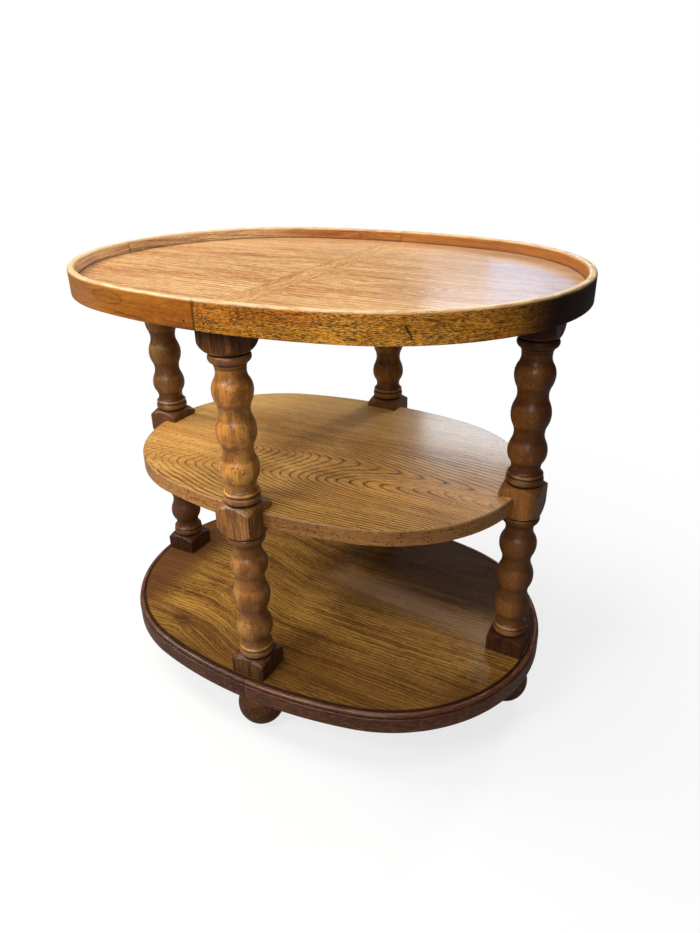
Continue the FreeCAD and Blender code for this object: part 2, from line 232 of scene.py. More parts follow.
def toned(colour, tone):
    """A colour made lighter or darker, with one factor or one for each channel."""
    tones = tone if isinstance(tone, tuple) else (tone, tone, tone)
    return tuple(channel * factor for channel, factor in zip(colour, tones))


def oak_surface(name, build, **changes):
    """Oak with ring lines, pores, streaks and clouds of stain. build(graph) gives the place along
    the grain in mm (along, across, deep), the ring count there, how strong the ring lines are
    there, masks with their colours (stains, and in places painted light and shade), and perhaps how wide
    the lines are."""
    look = dict(OAK, **changes)
    material, g = new_material(name)
    grain, rings, strength, masks, *thin = build(g)

    dashes = g.marks(grain, (0.055, 0.42, 0.42), 3.0, 0.7)
    ticks = g.marks(grain, (0.14, 0.95, 0.95), 2.0, 0.65)
    broad = g.marks(grain, (0.006, 0.055, 0.055), 3.0, 0.55)
    narrow = g.marks(grain, (0.014, 0.26, 0.26))
    cloud = g.marks(grain, (0.006, 0.016, 0.016)).ease(0.35, 0.68)
    uneven = g.marks(grain, (0.009, 0.1, 0.1)).ease(0.34, 0.6)

    width = thin[0] * look["ring_width"] if thin else look["ring_width"]
    phase = (rings + (dashes - 0.5) * look["ragged"]).part()
    line = phase.ease(0.0, width * 0.35) * phase.ease(width * 1.9, width * 0.5) * strength
    pores = (dashes.ease(0.52, 0.62) * 0.7 + ticks.ease(0.53, 0.64) * 0.6) * (line * 0.6 + 0.5)

    streaks = (broad * 0.5 + narrow * 0.5).ease(0.4, 0.6)
    colour = g.mix(streaks * look["streaks"], look["pale"], look["warm"])
    colour = g.mix(cloud * look["cloud"], colour, look["warm"], "MULTIPLY")
    colour = g.mix(line * (uneven * 0.6 + 0.4) * look["ring_line"], colour, look["line"])
    flecks = g.noise(g.shift(g.stretch(grain, 0.11, 0.9, 0.9), 7.3, 2.1, 5.9), 1.0, 2.0, 0.6)
    colour = g.mix(flecks.ease(0.52, 0.68) * look["flecks"], colour, look["fleck"])
    colour = g.mix(pores.least(1.0) * look["pores"], colour, look["pore"])
    dull = 0.0
    for mask, tone in masks:
        colour = g.mix(mask, colour, tone)
        if tone[0] < DARK_STAIN_AND_SHADE:
            dull = mask.most(dull)
    if look["specks"]:
        cells, lot, chance = g.cells(grain, (0.21, 0.27, 0.27), 1.0 / look["speck_size"])
        crowd = g.marks(grain, (0.03, 0.05, 0.05)).ease(0.38, 0.6)
        chosen = (chance - crowd * 0.9).ease(look["spots"], look["spots"] - 0.1)
        spot = (cells + lot * 0.16).ease(0.32, 0.22) * chosen
        colour = g.mix(spot * look["specks"], colour, look["pore"])

    height = line * -0.3 + pores * -0.6 + broad
    bump = g.node("ShaderNodeBump", {}, {"Strength": 0.3, "Distance": 0.0004, "Height": height}, "Normal")
    shader = g.node("ShaderNodeBsdfPrincipled", {}, {
        "Base Color": colour, "Roughness": look["gloss"] + pores * 0.25, "Normal": bump,
        "Coat Weight": (1.0 - (pores * 0.6).most(dull * 0.75)).most(0.0) * look["coat"],
        "Coat Roughness": look["coat_gloss"],
        "Specular IOR Level": look["shine"]})
    g.surface(shader)
    return material


def object_mm(g):
    """Object coordinates in millimetres."""
    place = g.node("ShaderNodeTexCoord", {}, {}, "Object")
    return g.stretch(place, 1000.0, 1000.0, 1000.0)


def beyond_posts(x, y):
    """How far a place lies outside the oval through the posts, in millimetres."""
    x, y = x.size(), y.size()
    at_end = (y * END_CENTRE).below((x - END_CENTRE) * SIDE_CENTRE)
    end_x, side_y = x - END_CENTRE, y + SIDE_CENTRE
    end = (end_x * end_x + y * y) ** 0.5 - END_ARC
    side = (x * x + side_y * side_y) ** 0.5 - SIDE_ARC
    return at_end * end + (1.0 - at_end) * side


def wobble(g, vector, scale, amount, seed):
    """Noise in millimetres, either side of nothing."""
    return (g.noise(g.shift(vector, seed, -seed, seed), scale, 2.0) - 0.5) * (2.0 * amount)


def board_rings(spacing, drift=7.0, seed=0.0, lean=0.0, arches=()):
    """Straight grain along X: a ring line every spacing millimetres across, pushed into small
    arches round the places (x, y, reach)."""
    def build(g):
        place = object_mm(g)
        x, y, z = place.axes()
        long = g.stretch(place, 0.35, 1.0, 1.0)
        across = y + x * lean + wobble(g, long, 0.012, drift, seed) + wobble(g, long, 0.07, 1.4, seed)
        for arch_x, arch_y, reach in arches:
            dx, dy = (x - arch_x) / (reach * 2.2), (y - arch_y) / reach
            across = across + dx * (reach * 2.4) / (dx * dx + dy * dy + 0.3)
        return g.vector(x + seed * 37.0, across, z), across / spacing, 1.0
    return build


# Pieces that follow a profile

def geometry_tree(name, inputs):
    """An empty geometry tree with named inputs. Returns its graph and the inputs as values."""
    tree = bpy.data.node_groups.new(name, "GeometryNodeTree")
    tree.interface.new_socket("Geometry", in_out="OUTPUT", socket_type="NodeSocketGeometry")
    for label, kind in inputs.items():
        tree.interface.new_socket(label, in_out="INPUT", socket_type="NodeSocket" + kind)
    g = Graph(tree)
    entry = tree.nodes.new("NodeGroupInput")
    return g, {label: Value(g, entry.outputs[label]) for label in inputs}


def store(g, geometry, name, kind, value):
    """Keeps a value at each vertex under a name that a material can read."""
    return g.node("GeometryNodeStoreNamedAttribute", {"data_type": kind, "domain": "POINT"}, {
        "Geometry": geometry, "Name": name, "Value": value})


def profile_grid(g, given):
    """A grid whose rows follow the points of the profile. Returns the grid, the way along it from
    0 to 1, and the profile's first size, glaze and height at each vertex."""
    profile = g.node("GeometryNodeObjectInfo", {}, {"Object": given["Profile"]}, "Geometry")
    rows = g.node("GeometryNodeAttributeDomainSize", {"component": "MESH"}, {
        "Geometry": profile}, "Point Count")
    grid = g.node("GeometryNodeMeshGrid", {}, {
        "Size X": 1.0, "Size Y": 1.0, "Vertices X": given["Columns"], "Vertices Y": rows})
    along, down, _ = g.node("GeometryNodeInputPosition", {}, {}).axes()
    row = ((down + 0.5) * (rows - 1.0)).nearest()
    sample = g.node("GeometryNodeSampleIndex", {"data_type": "FLOAT_VECTOR", "domain": "POINT"}, {
        "Geometry": profile, "Value": g.node("GeometryNodeInputPosition", {}, {}), "Index": row})
    out, glaze, height = sample.axes()
    return grid, along + 0.5, out, glaze, height


def finish_tree(g, geometry, material):
    """Closes a tree with real geometry that carries the material."""
    whole = g.node("GeometryNodeRealizeInstances", {}, {"Geometry": geometry})
    named = g.node("GeometryNodeSetMaterial", {}, {"Geometry": whole, "Material": material})
    g.node("NodeGroupOutput", {}, {"Geometry": named})
    return g.tree


def band_tree():
    """A profile that follows a quarter of the oval."""
    g, given = geometry_tree("band along the oval", {
        "Profile": "Object", "Columns": "Int", "From": "Float", "To": "Float", "End Arc": "Float",
        "Side Arc": "Float", "End Centre": "Float", "Side Centre": "Float", "Joint Angle": "Float",
        "Side X": "Float", "Side Y": "Float", "Wear": "Float", "Seed": "Float", "Material": "Material"})
    grid, along, out, glaze, height = profile_grid(g, given)
    reach = given["From"] + along * (given["To"] - given["From"])
    end_length = given["End Arc"] * given["Joint Angle"]
    at_end = reach.below(end_length)
    at_side = 1.0 - at_end
    angle = at_end * (reach / given["End Arc"]) + at_side * (
        given["Joint Angle"] + (reach - end_length) / given["Side Arc"])
    rubbed = g.noise(g.vector(reach * 0.05, given["Seed"], 0.0), 1.0, 4.0, 0.65)
    nick = (rubbed.ease(0.45, 0.8) * given["Wear"]) * (-glaze).most(0.0)
    radius = at_end * given["End Arc"] + at_side * given["Side Arc"] + out
    x = (at_end * given["End Centre"] + radius * angle.cosine()) * given["Side X"]
    y = (radius * angle.sine() - at_side * given["Side Centre"]) * given["Side Y"]
    place = g.vector(x * MM, y * MM, (height - nick) * MM)
    grained = store(g, grid, "grain", "FLOAT_VECTOR", g.vector(reach, height, out))
    glazed = store(g, grained, "glaze", "FLOAT", glaze)
    moved = g.node("GeometryNodeSetPosition", {}, {"Geometry": glazed, "Position": place})
    return finish_tree(g, moved, given["Material"])


def turning_tree():
    """A turned profile cut by a square stock: round where it is small, square where it is not."""
    g, given = geometry_tree("turning from square stock", {
        "Profile": "Object", "Columns": "Int", "Half Width": "Float", "Edge Ease": "Float",
        "Crease Ease": "Float", "Centre X": "Float", "Centre Y": "Float", "Unevenness": "Float",
        "Seed": "Float", "Material": "Material"})
    grid, along, out, glaze, height = profile_grid(g, given)
    even = along * math.tau
    angle = even - ((even - math.pi / 4) * 4.0).sine() * 0.11
    flat_x = given["Half Width"] / angle.cosine().size().most(0.01)
    flat_y = given["Half Width"] / angle.sine().size().most(0.01)
    square = flat_x.soft_least(flat_y, given["Edge Ease"])
    hand = g.vector(angle.cosine(), angle.sine(), height * 0.02 + given["Seed"])
    uneven = (g.noise(hand, 1.4, 1.0) - 0.5) * given["Unevenness"] * out.ease(2.0, 12.0)
    radius = (out + uneven).soft_least(square, given["Crease Ease"])
    radius = radius.most(0.0) * out.ease(0.0, 0.001)
    x = given["Centre X"] + radius * angle.cosine()
    y = given["Centre Y"] + radius * angle.sine()
    faced = (out - square).ease(-0.5, 1.5)
    glazed = store(g, grid, "glaze", "FLOAT", glaze * (1.0 - faced))
    moved = g.node("GeometryNodeSetPosition", {}, {
        "Geometry": glazed, "Position": g.vector(x * MM, y * MM, height * MM)})
    return finish_tree(g, moved, given["Material"])


BAND = band_tree()
TURNING = turning_tree()
SAME_PLACE = 2e-6


def add_object(name, data):
    """A new object in the scene."""
    made = bpy.data.objects.new(name, data)
    bpy.context.scene.collection.objects.link(made)
    return made


def profile_object(name, points):
    """Holds the profile: (first size, height, glaze) in millimetres, as bare vertices."""
    mesh = bpy.data.meshes.new(name)
    mesh.from_pydata([(out, glaze, height) for out, height, glaze in points], [], [])
    return add_object(name, mesh)


def made_mesh(name, tree, values, sharp):
    """Runs a geometry tree and returns its result as a closed plain mesh object."""
    seed = add_object(name + "_tree", bpy.data.meshes.new(name + "_tree"))
    modifier = seed.modifiers.new("tree", "NODES")
    modifier.node_group = tree
    for item in tree.interface.items_tree:
        if item.in_out == "INPUT":
            modifier[item.identifier] = values[item.name]
    depsgraph = bpy.context.evaluated_depsgraph_get()
    mesh = bpy.data.meshes.new_from_object(seed.evaluated_get(depsgraph), depsgraph=depsgraph)
    bpy.data.objects.remove(seed)
    mesh.name = name
    shape = bmesh.new()
    shape.from_mesh(mesh)
    bmesh.ops.remove_doubles(shape, verts=shape.verts, dist=SAME_PLACE)
    bmesh.ops.dissolve_degenerate(shape, edges=shape.edges, dist=SAME_PLACE / 2)
    bmesh.ops.holes_fill(shape, edges=[e for e in shape.edges if e.is_boundary], sides=0)
    bmesh.ops.recalc_face_normals(shape, faces=shape.faces)
    shape.to_mesh(mesh)
    shape.free()
    mesh.shade_smooth()
    mesh.set_sharp_from_angle(angle=math.radians(sharp))
    return add_object(name, mesh)


def dress(node, tree, values, sharp=35.0):
    """Puts a piece made by a geometry tree in the place of a CAD node."""
    piece = made_mesh(node + "_piece", tree, values, sharp)
    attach(piece, "root")
    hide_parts(node)


def arc(start, middle, end, count):
    """Points after start on the circle through three points, ending at end."""
    (ax, ay), (bx, by), (cx, cy) = start, middle, end
    d = 2 * (ax * (by - cy) + bx * (cy - ay) + cx * (ay - by))
    a2, b2, c2 = ax * ax + ay * ay, bx * bx + by * by, cx * cx + cy * cy
    ux = (a2 * (by - cy) + b2 * (cy - ay) + c2 * (ay - by)) / d
    uy = (a2 * (cx - bx) + b2 * (ax - cx) + c2 * (bx - ax)) / d
    first, mid, last = (math.atan2(y - uy, x - ux) for x, y in (start, middle, end))
    turn = (last - first) % math.tau
    if (mid - first) % math.tau > turn:
        turn -= math.tau
    radius = math.hypot(ax - ux, ay - uy)
    return [(ux + radius * math.cos(first + turn * k / count),
             uy + radius * math.sin(first + turn * k / count)) for k in range(1, count + 1)]


def along_path(path, step):
    """Samples a path of points and (middle, end) arcs about every step millimetres."""
    points = [path[0]]
    for part in path[1:]:
        here = points[-1]
        if isinstance(part[0], tuple):
            middle, end = part
            length = math.dist(here, middle) + math.dist(middle, end)
            points += arc(here, middle, end, max(3, round(length / step)))
        else:
            count = max(1, round(math.dist(here, part) / (4 * step)))
            for k in range(1, count + 1):
                points.append(tuple(h + (p - h) * k / count for h, p in zip(here, part)))
    return points


# Rim, edge bands and moulding

def band(node, profile, material, side, start, end, columns, wear=0.0):
    """Sweeps a profile along a quarter of the oval, between two distances from its long axis."""
    dress(node, BAND, {
        "Profile": profile, "Columns": columns, "From": start, "To": end, "End Arc": END_ARC,
        "Side Arc": SIDE_ARC, "End Centre": END_CENTRE, "Side Centre": SIDE_CENTRE,
        "Joint Angle": JOINT_ANGLE, "Side X": float(side[0]), "Side Y": float(side[1]),
        "Wear": wear, "Seed": side[0] * 9.0 + side[1] * 5.0, "Material": material})


def closed_profile(name, path, step, glaze):
    """A profile that comes back to its start. glaze(out, height) gives its stain at each point."""
    points = along_path(path + [path[0]], step)
    return profile_object(name, [(out, height, glaze(out, height)) for out, height in points])


def rounded(corner, before, after):
    """A square corner taken off by a quarter round, from an offset before it to one after it."""
    start, end = (tuple(c + o for c, o in zip(corner, offset)) for offset in (before, after))
    centre = (start[0] + end[0] - corner[0], start[1] + end[1] - corner[1])
    bulge = 1 / math.sqrt(2)
    middle = tuple(c + (b - c) * bulge for c, b in zip(centre, corner))
    return [start, (middle, end)]


def rim_profile():
    inside = TOP_OVERHANG - RIM_THICKNESS
    inner, outer, foot = 3.5, 3.2, 0.7
    worn, stained = 3.4, 1.8
    path = [
        (inside, RIM_LOW),
        *rounded((inside, RIM_TOP), (0.0, -inner), (inner, 0.0)),
        *rounded((TOP_OVERHANG, RIM_TOP), (-outer, 0.0), (0.0, -outer)),
        *rounded((TOP_OVERHANG, RIM_LOW), (0.0, foot), (-foot, 0.0)),
    ]

    def glaze(out, height):
        if height > RIM_TOP - worn:
            return -min(1.0, (height - RIM_TOP + worn) / 3.0)
        if out < inside + 0.1:
            return max(0.0, 1.0 - abs(height - TRAY_FLOOR) / stained)
        return 0.0
    return closed_profile("rim profile", path, 0.5, glaze)


def edge_profile():
    outer = -MID_SETBACK
    inside = outer - EDGE_BAND
    ease, foot = 1.3, 0.8
    path = [
        (inside, MID_UNDERSIDE),
        (inside, MID_SURFACE),
        *rounded((outer, MID_SURFACE), (-ease, 0.0), (0.0, -ease)),
        *rounded((outer, MID_UNDERSIDE), (0.0, foot), (-foot, 0.0)),
    ]
    return closed_profile("edge band profile", path, 0.4, lambda out, height: 0.0)


def moulding_profile():
    bead_width, bead_height, tuck = 7.4, 6.2, 1.2
    sink, quirk_width, quirk_depth, face_round, foot = 0.6, 1.0, 3.0, 0.8, 0.9
    inside = MOULDING_OVERHANG - MOULDING_WIDTH
    bead_in = inside + quirk_width
    bead_out = bead_in + bead_width
    crown = (bead_in + bead_width / 2, BOTTOM_SURFACE - sink)
    shoulder = crown[1] - bead_height / 2
    step = crown[1] - bead_height
    bend = math.sqrt(0.5)
    inner_mid = (crown[0] - bead_width / 2 * bend, shoulder + bead_height / 2 * bend)
    outer_mid = (crown[0] + bead_width / 2 * bend, shoulder + bead_height / 2 * bend)
    path = [
        (inside, MOULDING_LOW),
        (inside, BOTTOM_SURFACE - quirk_depth),
        (bead_in, BOTTOM_SURFACE - quirk_depth),
        (bead_in, shoulder),
        (inner_mid, crown),
        (outer_mid, (bead_out, shoulder)),
        ((bead_out - tuck / 4, (shoulder + step) / 2), (bead_out - tuck, step)),
        *rounded((MOULDING_OVERHANG, step), (-face_round, 0.0), (0.0, -face_round)),
        *rounded((MOULDING_OVERHANG, MOULDING_LOW), (0.0, foot), (-foot, 0.0)),
    ]

    def glaze(out, height):
        in_quirk = max(0.0, 1.0 - abs(out - inside - quirk_width / 2) / 1.6)
        in_step = max(0.0, 1.0 - math.hypot(out - bead_out + tuck, height - step) / 1.4)
        crown_rub = -max(0.0, 1.0 - math.hypot(out - crown[0], height - crown[1]) / 2.2)
        return max(in_quirk, in_step) or crown_rub
    return closed_profile("moulding profile", path, 0.45, glaze)


def grain_of_band(g):
    """The grain vector of a band, its numbers along, up and through the band, and the glaze."""
    grain = g.attribute("grain", "Vector")
    return (grain, *grain.axes(), g.attribute("glaze", "Fac"))


def rim_look(side, flecked):
    """Grain of one rim band, with its worn top edge, its joints and the filled brad holes, painted shade on
    the outside of a right-hand end and painted light on the inner wall of a left-hand end.
    """
    seed = side[0] * 3.0 + side[1] * 7.0

    def build(g):
        grain, along, up, deep, glaze = grain_of_band(g)
        shifted = g.vector(along + seed * 97.0, up + seed, deep)
        waves = up + wobble(g, g.stretch(shifted, 0.2, 1.0, 1.0), 0.05, 5.0, seed)
        outside = deep.ease(TOP_OVERHANG - 4.0, TOP_OVERHANG - 1.0)
        fleck = g.marks(shifted, (0.25, 1.95, 0.6), 2.0, 0.75)
        crowd = g.marks(shifted, (0.02, 0.05, 0.05), 2.0).ease(0.32, 0.55)
        strong = 0.95 if flecked else 0.3
        black = (fleck + crowd * 0.05).ease(0.525, 0.55) * (outside * 0.5 + 0.4) * strong
        streaky = g.marks(shifted, (0.022, 0.4, 0.3), 3.0, 0.6).ease(0.46, 0.6)
        worn = g.marks(shifted, (0.06, 0.3, 0.3), 3.0).ease(0.3, 0.6)
        rub = (-glaze).most(0.0) * (worn * 0.5 + 0.5)
        from_joint = along.least(QUARTER_LENGTH - along)
        seam = from_joint.ease(2.6, 0.3)
        hole = g.node("ShaderNodeVectorMath", {"operation": "LENGTH"}, {
            0: g.vector(from_joint - BRAD_SETBACK, up - BRAD_HEIGHT, 0.0)}, "Value")
        stains_and_shade = []
        if side == (-1, -1):
            patchy = g.marks(shifted, (0.012, 0.05, 0.04), 3.0)
            stains_and_shade.append((along.ease(290.0, 190.0) * patchy.ease(0.3, 0.6) * 0.75, (0.32, 0.125, 0.075)))
            ragged = wobble(g, shifted, 0.09, 5.0, 3.0)
            eye_along, eye_up = (along - 274.0 + ragged) / 25.0, (up - 597.0 + ragged * 0.4) / 7.0
            eye = (eye_along * eye_along + eye_up * eye_up) ** 0.5
            ring = eye.near(1.0, 0.25, 0.0)
            streak = (up - 582.0 + (along - 283.0) * 0.03 + ragged * 0.5).size().ease(2.4, 0.6)
            stains_and_shade += [
                (ring * 0.5 + eye.ease(1.1, 0.3) * 0.35, (0.14, 0.05, 0.018)),
                (streak * along.near(308.0, 34.0, 18.0) * 0.6, (0.12, 0.045, 0.016)),
                (along.ease(330.0, 385.0) * up.ease(584.5, 578.0) * 0.6, (0.1, 0.04, 0.012))]
        if side == (1, -1):
            crack = (along - 195.0 - (up - 583.0) * 0.38 + wobble(g, shifted, 0.3, 1.2, 4.0)).size()
            stains_and_shade += [(along.ease(300.0, 430.0) * 0.16, (0.3, 0.12, 0.02)),
                        (crack.ease(1.3, 0.5) * up.near(590.0, 8.5, 6.0) * 0.9, GLAZE)]
        # Painted shade: the outside of the right-hand end is painted nearly black
        if side[0] > 0:
            stains_and_shade.append((along.ease(138.0, 66.0) * 0.99, (0.01, 0.0, 0.003)))
        masks = [(amount * outside, tone) for amount, tone in stains_and_shade] + [
            ((1.0 - outside) * 0.65, (0.36, 0.14, 0.042)),
            # Painted light: the inner wall is painted paler towards the left-hand end
            ((1.0 - outside) * along.ease(290.0, 90.0) * (0.95 if side[0] < 0 else 0.0), (1.0, 0.68, 0.37)),
            ((1.0 - outside) * streaky * 0.5, (0.22, 0.078, 0.032)),
            (black, (0.025, 0.009, 0.003)),
            (glaze.most(0.0) * 0.9, (0.1, 0.03, 0.022)),
            (seam * (outside * 0.4 + 0.3), GLAZE),
            (hole.ease(1.7, 1.1) * outside * 0.85, GLAZE),
            (rub * 0.8, (0.9, 0.66, 0.36)),
        ]
        return g.vector(along + seed * 97.0, waves, deep), waves / 6.0, 1.0, masks
    return build


def rim_bands():
    profile = rim_profile()
    gap = 0.12
    for name, side in QUARTERS.items():
        flecked = side[0] != side[1]
        material = oak_surface(
            "oak rim " + name, rim_look(side, flecked),
            pale=(1.0, 0.465, 0.06) if flecked else (0.66, 0.26, 0.018),
            warm=(0.76, 0.3, 0.02) if flecked else (0.52, 0.175, 0.011),
            pores=0.8 if flecked else 0.35, ring_line=0.25, cloud=0.5, coat=0.35)
        band("rim_band_" + name, profile, material, side, gap, QUARTER_LENGTH - gap, 220, wear=0.7)


def edge_look(g):
    """Mottled grain of an edge band, with open pits and a painted highlight along its upper edge."""
    grain, along, up, deep, _ = grain_of_band(g)
    across = up + wobble(g, g.stretch(grain, 0.3, 1.0, 1.0), 0.06, 3.0, 4.0)
    pit, lot, _ = g.cells(grain, (0.19, 0.27, 0.27))
    mottled = g.marks(grain, (0.1, 0.16, 0.16), 3.0, 0.6).ease(0.5, 0.68)
    masks = [(mottled * 0.5, (0.16, 0.066, 0.018)),
             ((pit + lot * 0.1).ease(0.34, 0.24) * lot.ease(0.7, 0.65) * 0.9, OAK["pore"]),
             # Painted highlight: a pale line along the rounded upper edge
             (up.ease(MID_SURFACE - 1.2, MID_SURFACE - 0.2) * 0.35, (0.55, 0.36, 0.22))]
    return g.vector(along, across, deep), across / 5.0, 1.0, masks


def edge_bands():
    profile = edge_profile()
    clear = BLOCK_HALF + 0.2
    start = END_ARC * math.asin(clear / (END_ARC - MID_SETBACK))
    end = QUARTER_LENGTH - SIDE_ARC * math.asin(clear / (SIDE_ARC - MID_SETBACK))
    for name, side in QUARTERS.items():
        # Painted light and shade: the bands on the left are toned lighter and those on the right darker
        tone = 0.86 if side[0] > 0 else 1.3
        material = oak_surface(
            "oak shelf edge " + name, edge_look, pale=toned((0.5, 0.235, 0.06), tone),
            warm=toned((0.36, 0.155, 0.036), tone), ring_line=0.25, pores=0.5)
        band("mid_shelf_edge_band_" + name, profile, material, side, start, end, 110)


def moulding_look(seed):
    """Dark stained grain of one moulding, with stain in its hollows and a rubbed bead."""
    def build(g):
        grain, along, up, deep, glaze = grain_of_band(g)
        across = up + wobble(g, g.stretch(grain, 0.2, 1.0, 1.0), 0.05, 4.0, seed)
        from_joint = along.least(QUARTER_LENGTH - along)
        rub = (-glaze).most(0.0) * g.marks(grain, (0.03, 0.1, 0.1), 3.0).ease(0.45, 0.7)
        masks = [(glaze.most(0.0) * 0.8, (0.012, 0.006, 0.004)),
                 (from_joint.ease(1.6, 0.3) * 0.6, (0.02, 0.008, 0.004)),
                 (rub * 0.5, (0.32, 0.17, 0.1))]
        return g.vector(along + seed * 61.0, across, deep), across / 5.0, 1.0, masks
    return build


def mouldings():
    profile = moulding_profile()
    gap = 0.1
    for name, side in QUARTERS.items():
        tone = 1.2 if side[0] > 0 else 0.8
        material = oak_surface(
            "oak moulding " + name, moulding_look(side[0] * 2.0 + side[1] * 5.0),
            pale=toned((0.155, 0.05, 0.025), tone), warm=toned((0.095, 0.029, 0.014), tone),
            line=(0.05, 0.018, 0.01), pores=0.35, ring_line=0.4, cloud=0.5)
        band("bottom_moulding_" + name, profile, material, side,
             gap, QUARTER_LENGTH - gap, 200)


# Posts and feet

GROOVE, GROOVE_WIDTH = 21.4, 2.0
PITCH, FIRST_DROP, LAST_RISE = 49.7, 44.3, 42.8
TURNED_LENGTH = FIRST_DROP + 2 * PITCH + LAST_RISE
BULGE, WAIST = 24.3, 18.7
COLLAR_HEIGHT, COLLAR_FOOT = 10.0, 21.6
FILLET, FILLET_HEIGHT = 20.4, 5.0
UPPER_NECK, LOWER_NECK, NECK_REACH = 17.8, 18.2, 22.0
RING, RING_HEIGHT = 23.5, 10.0
RING_BEAD, RING_BEAD_HEIGHT = 22.6, 4.0
POMMEL_HEIGHT = 22.0

# Levels of a post: its grooves, and the middle and lower blocks between its turned lengths
POST_TOP = 578.0
UPPER_GROOVE = 541.5
MID_TOP = UPPER_GROOVE - TURNED_LENGTH
LOWER_GROOVE = MID_TOP - 45.0
BASE_TOP = LOWER_GROOVE - TURNED_LENGTH


def swell_arc(turning_point, end):
    """The middle of an arc that leaves a turning point upright and passes through an end."""
    radius, height = turning_point
    run, rise = end[1] - height, end[0] - radius
    arc_radius = (run ** 2 + rise ** 2) / (2 * abs(rise))
    half_turn = math.asin(min(1.0, abs(run) / arc_radius)) / 2
    inward = math.copysign(arc_radius * (1 - math.cos(half_turn)), rise)
    return (radius + inward, height + math.copysign(arc_radius * math.sin(half_turn), run))


def swell(start, end):
    """Two arcs from one upright place to the next that meet between them."""
    share = 0.57 if start[0] > end[0] else 0.43
    turn = (start[0] + (end[0] - start[0]) * share, start[1] + (end[1] - start[1]) * share)
    return [(swell_arc(start, turn), turn), (swell_arc(end, turn), end)]


def turned_path(groove_level, collar):
    """One turned length from the groove at its top to the one at its foot, from the top down."""
    base = groove_level - TURNED_LENGTH
    collar_top = groove_level - GROOVE_WIDTH / 2
    collar_low = collar_top - COLLAR_HEIGHT
    fillet_middle = ((FILLET + UPPER_NECK) / 2, collar_low - FILLET_HEIGHT * 0.65)
    ring_low = base + GROOVE_WIDTH / 2
    bead_low = ring_low + RING_HEIGHT
    bead_high = bead_low + RING_BEAD_HEIGHT
    neck = (UPPER_NECK, groove_level - NECK_REACH)
    path = [
        (GROOVE, groove_level),
        (GROOVE, collar_top),
        ((GROOVE + collar) / 2, collar_top),
        ((collar, collar_top - COLLAR_HEIGHT * 0.42), (COLLAR_FOOT, collar_low)),
        (FILLET, collar_low),
        (fillet_middle, (UPPER_NECK + 0.5, collar_low - FILLET_HEIGHT)),
        neck,
    ]
    upright = [neck]
    for number in range(3):
        level = groove_level - FIRST_DROP - number * PITCH
        upright.append((BULGE, level))
        if number < 2:
            upright.append((WAIST, level - PITCH / 2))
    last_neck = (LOWER_NECK, base + NECK_REACH)
    upright.append(last_neck)
    for start, end in zip(upright, upright[1:]):
        path += swell(start, end)
    flare = (RING_BEAD - 1.2, bead_high)
    path += [
        (swell_arc(last_neck, flare), flare),
        ((RING_BEAD, (bead_low + bead_high) / 2), (GROOVE, bead_low)),
        ((RING, (ring_low + bead_low) / 2), (GROOVE, ring_low)),
        (GROOVE, base),
    ]
    return path


def post_profile():
    """The whole post from the top down. Where it is wider than the stock, the stock's faces show."""
    corner = BLOCK_HALF * math.sqrt(2) + 0.2

    def pommel(low):
        lip = low + GROOVE_WIDTH / 2
        lip_radius = GROOVE + 2.4
        middle = (lip_radius + (corner - lip_radius) * 0.74, lip + (POMMEL_HEIGHT - 1.0) * 0.32)
        return [(corner, low + POMMEL_HEIGHT), (middle, (lip_radius, lip)), (GROOVE, lip)]

    def cone(high, drop):
        slope = drop / (corner - 0.2 - GROOVE)
        return [(corner, high - drop - slope * 0.2)]

    path = [(0.0, POST_TOP), (corner, POST_TOP)]
    path += pommel(UPPER_GROOVE) + turned_path(UPPER_GROOVE, 24.7) + cone(MID_TOP, 8.0)
    path += pommel(LOWER_GROOVE) + turned_path(LOWER_GROOVE, 24.3) + cone(BASE_TOP, 6.0)
    path += [(corner, BOTTOM_SURFACE), (0.0, BOTTOM_SURFACE)]
    return glazed_profile("post profile", path, 0.9)


def glazed_profile(name, path, step):
    """Stain gathers where the turning is hollow and rubs off where it is full."""
    points = along_path(path, step)
    result = []
    for radius, height in points:
        near = [r for r, h in points if abs(h - height) < 6.0]
        close = [r for r, h in points if abs(h - height) < 2.0]
        hollow = (sum(near) / len(near) - radius) / 5.0 + (sum(close) / len(close) - radius) / 0.9
        result.append((radius, height, max(-1.0, min(1.0, hollow))))
    return profile_object(name, result)


